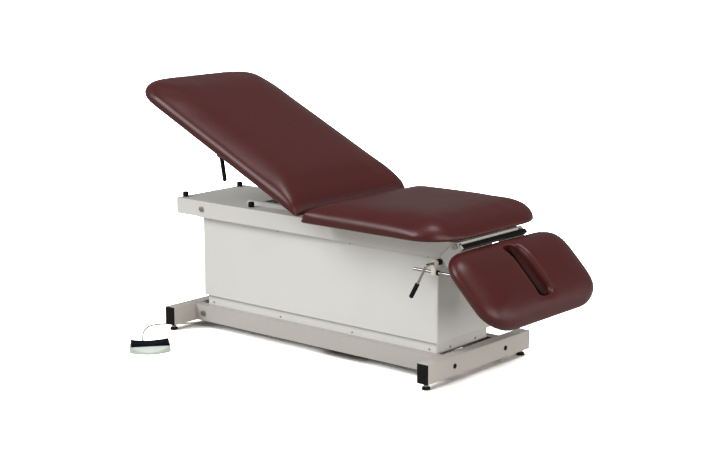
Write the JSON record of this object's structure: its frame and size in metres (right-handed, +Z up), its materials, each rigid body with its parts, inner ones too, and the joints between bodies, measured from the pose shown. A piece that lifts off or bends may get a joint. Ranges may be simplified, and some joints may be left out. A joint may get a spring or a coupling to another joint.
{
  "type": "power treatment table",
  "caption": "Height-adjustable upholstered treatment table with raised back, seat, drop section with face slot, shrouded lift and foot pedal.",
  "frame": {"origin": "on the floor under the middle of the base", "axes": "+X along the table towards the drop section, +Y towards the far side, +Z up"},
  "size_m": [1.8369, 1.0233, 1.0362],
  "materials": {
    "painted_steel": "satin off-white powder coat",
    "black_paint": "satin black",
    "vinyl": "soft burgundy vinyl, semi-gloss",
    "board": "bare plywood",
    "rubber": "matt black",
    "black_plastic": "fine grain",
    "nylon": "natural nylon",
    "steel": "zinc plated",
    "chrome": "bright",
    "ivory_plastic": "smooth",
    "navy_plastic": "smooth",
    "pedal_plastic": "smooth",
    "cord_jacket": "smooth"
  },
  "bodies": {
    "base": {"base_member": "painted_steel", "base_pivot_bolts": "steel", "control_box": "black_plastic", "control_pan": "painted_steel", "cord_gland": "cord_jacket", "end_rail_foot": "painted_steel", "end_rail_head": "painted_steel", "mains_inlet": "black_plastic", "pedal_base": "pedal_plastic", "pedal_cord": "cord_jacket", "rail_end_caps": "black_plastic", "rail_plugs": "black_plastic", "side_channels": "painted_steel", "skirt": "painted_steel", "skirt_screws": "steel", "strain_relief": "cord_jacket"},
    "pedal_rocker": {"pedal_rocker": "navy_plastic"},
    "outer_arms": {"outer_arms": "painted_steel", "outer_shoes": "nylon"},
    "inner_arms": {"inner_arms": "painted_steel", "inner_shoes": "nylon"},
    "actuator_body": {"actuator_body": "black_plastic"},
    "actuator_rod": {"actuator_rod": "steel"},
    "top": {"top_tray": "painted_steel", "shoe_tracks": "painted_steel", "shroud": "painted_steel", "shroud_screws": "steel", "top_pivot_bolts": "steel", "support_rails": "painted_steel", "bumpers": "rubber", "back_hinge_brackets": "painted_steel", "back_hinge_pins": "steel", "gas_spring_bracket": "painted_steel", "drop_pivot_bolts": "steel", "clamp_washer": "black_plastic", "seat_board": "board", "seat_cushion": "vinyl"},
    "back": {"back_hinge_arms": "painted_steel", "gas_spring_lug": "painted_steel", "release_bracket": "black_paint", "back_board": "board", "back_cushion": "vinyl"},
    "gas_spring_cylinder": {"gas_spring_cylinder": "black_paint"},
    "gas_spring_rod": {"gas_spring_rod": "chrome"},
    "release_lever": {"release_lever": "black_plastic"},
    "drop": {"drop_arms": "painted_steel", "drop_cross_bar": "black_paint", "lock_stud": "steel", "drop_board": "board", "drop_cushion": "vinyl"},
    "lock_rod": {"lock_rod": "chrome"},
    "clamp_block": {"clamp_block": "ivory_plastic", "clamp_bush": "black_plastic"},
    "clamp_lever": {"clamp_lever": "chrome", "clamp_grip": "rubber"},
    "levelling_foot_head_near": {"levelling_foot_head_near": "rubber"},
    "levelling_foot_head_far": {"levelling_foot_head_far": "rubber"},
    "levelling_foot_foot_near": {"levelling_foot_foot_near": "rubber"},
    "levelling_foot_foot_far": {"levelling_foot_foot_far": "rubber"}
  },
  "joints": [
    {"name": "lift", "type": "slide", "parent": "base", "child": "top", "axis": [0, 0, 1], "range_m": [0, 0.3]},
    {"name": "scissor_outer", "type": "hinge", "parent": "base", "child": "outer_arms", "pos_m": [-0.6, 0, 0.063], "axis": [0, 1, 0], "range_deg": [-16, 0]},
    {"name": "scissor_inner", "type": "hinge", "parent": "top", "child": "inner_arms", "pos_m": [-0.6, 0, 0.5125], "axis": [0, 1, 0], "range_deg": [0, 16]},
    {"name": "actuator_swing", "type": "hinge", "parent": "base", "child": "actuator_body", "pos_m": [0.25, 0, 0.063], "axis": [0, 1, 0], "range_deg": [-8, 0]},
    {"name": "actuator_rod_pivot", "type": "hinge", "parent": "outer_arms", "child": "actuator_rod", "pos_m": [0.16057, 0, 0.44252], "axis": [0, 1, 0], "range_deg": [0, 8]},
    {"name": "backrest", "type": "hinge", "parent": "top", "child": "back", "pos_m": [0.098, 0, 0.548], "axis": [0, 1, 0], "range_deg": [-24.4, 20]},
    {"name": "gas_spring_swing", "type": "hinge", "parent": "top", "child": "gas_spring_cylinder", "pos_m": [0.02276, 0.06, 0.34127], "axis": [0, 1, 0], "range_deg": [-12.3, 10.1]},
    {"name": "gas_rod_pivot", "type": "hinge", "parent": "back", "child": "gas_spring_rod", "pos_m": [-0.10573, 0.06, 0.63103], "axis": [0, 1, 0], "range_deg": [-10.1, 12.3]},
    {"name": "release", "type": "hinge", "parent": "back", "child": "release_lever", "pos_m": [-0.38409, -0.3, 0.77533], "axis": [0, 1, 0], "range_deg": [0, 15], "stiffness_Nm_per_rad": 1.5, "springref_deg": -8.59},
    {"name": "drop_tilt", "type": "hinge", "parent": "top", "child": "drop", "pos_m": [0.726, 0, 0.533], "axis": [0, 1, 0], "range_deg": [-45, 19]},
    {"name": "lock_rod_pivot", "type": "hinge", "parent": "drop", "child": "lock_rod", "pos_m": [0.815, -0.24, 0.431], "axis": [0, 1, 0], "range_deg": [-8.52, 20.04]},
    {"name": "clamp_swivel", "type": "hinge", "parent": "top", "child": "clamp_block", "pos_m": [0.655, -0.24, 0.466], "axis": [0, 1, 0], "range_deg": [-25.17, 10.68]},
    {"name": "clamp_lever_turn", "type": "hinge", "parent": "top", "child": "clamp_lever", "pos_m": [0.655, -0.24, 0.466], "axis": [0, 1, 0], "range_deg": [-45, 75]},
    {"name": "pedal_rock", "type": "hinge", "parent": "base", "child": "pedal_rocker", "pos_m": [-0.487, -0.612, 0.017], "axis": [-0.776, 0.6307, 0], "range_deg": [-6, 6], "stiffness_Nm_per_rad": 4},
    {"name": "levelling_foot_head_near_screw", "type": "slide", "parent": "base", "child": "levelling_foot_head_near", "axis": [0, 0, -1], "range_m": [0, 0.012]},
    {"name": "levelling_foot_head_far_screw", "type": "slide", "parent": "base", "child": "levelling_foot_head_far", "axis": [0, 0, -1], "range_m": [0, 0.012]},
    {"name": "levelling_foot_foot_near_screw", "type": "slide", "parent": "base", "child": "levelling_foot_foot_near", "axis": [0, 0, -1], "range_m": [0, 0.012]},
    {"name": "levelling_foot_foot_far_screw", "type": "slide", "parent": "base", "child": "levelling_foot_foot_far", "axis": [0, 0, -1], "range_m": [0, 0.012]}
  ],
  "couplings": [
    {"joint": "scissor_outer", "follows": "lift", "rad_per_m": -0.925},
    {"joint": "scissor_inner", "follows": "lift", "rad_per_m": 0.925},
    {"joint": "actuator_swing", "follows": "lift", "rad_per_m": -0.4625},
    {"joint": "actuator_rod_pivot", "follows": "lift", "rad_per_m": 0.4625},
    {"joint": "gas_spring_swing", "follows": "backrest", "ratio": 0.5},
    {"joint": "gas_rod_pivot", "follows": "backrest", "ratio": -0.5},
    {"joint": "lock_rod_pivot", "follows": "drop_tilt", "ratio": -0.443},
    {"joint": "clamp_swivel", "follows": "drop_tilt", "ratio": 0.557}
  ]
}
